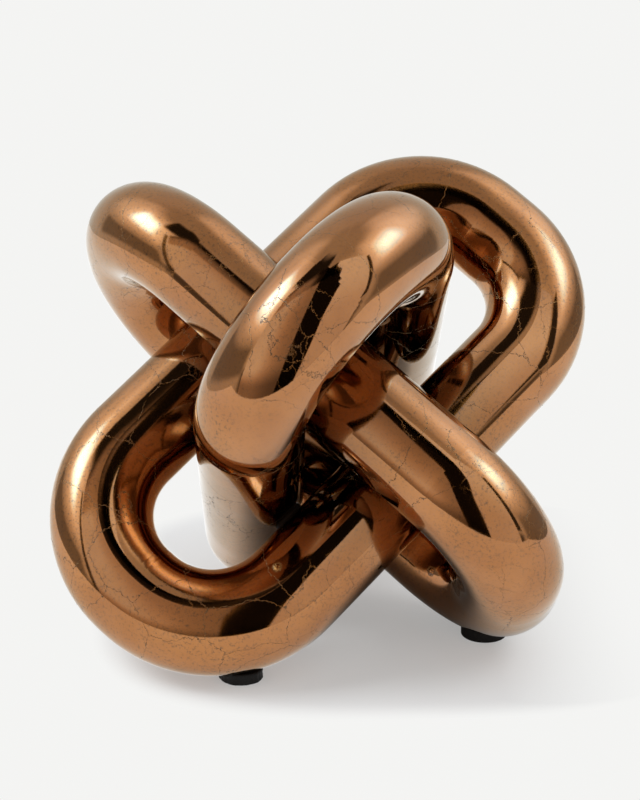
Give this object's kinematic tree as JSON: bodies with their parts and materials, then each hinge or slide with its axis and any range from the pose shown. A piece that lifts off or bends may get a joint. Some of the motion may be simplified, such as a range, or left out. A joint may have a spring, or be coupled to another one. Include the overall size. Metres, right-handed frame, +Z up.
{
  "type": "metal knot sculpture",
  "caption": "Tabletop knot of interlocked rounded oblong loops of thick polished bronze-coloured bar, standing on small round rubber pads.",
  "frame": {"origin": "on the floor, under the middle of the bounding box", "axes": "+Z up out of the surface it stands on, -Y to the front, where the front loop's upper lobe points, and +X to the right"},
  "size_m": [0.1478, 0.145, 0.1314],
  "materials": {
    "bronze_finish": "polished",
    "dowel_steel": "satin",
    "bond_adhesive": "satin",
    "pad_rubber": "matte"
  },
  "bodies": {
    "root": {"right_loop_upper": "bronze_finish", "right_loop_lower": "bronze_finish", "right_loop_dowel_high": "dowel_steel", "right_loop_dowel_low": "dowel_steel", "pad_right_loop": "pad_rubber", "left_loop_upper": "bronze_finish", "left_loop_lower": "bronze_finish", "left_loop_dowel_high": "dowel_steel", "left_loop_dowel_low": "dowel_steel", "pad_left_loop": "pad_rubber", "front_loop_upper": "bronze_finish", "front_loop_lower": "bronze_finish", "front_loop_dowel_high": "dowel_steel", "front_loop_dowel_low": "dowel_steel", "pad_front_loop": "pad_rubber", "bond_right_left_1": "bond_adhesive", "bond_right_left_2": "bond_adhesive", "bond_right_left_3": "bond_adhesive", "bond_right_left_4": "bond_adhesive", "bond_left_front_1": "bond_adhesive", "bond_left_front_2": "bond_adhesive", "bond_front_right_1": "bond_adhesive", "bond_front_right_2": "bond_adhesive"}
  },
  "joints": []
}
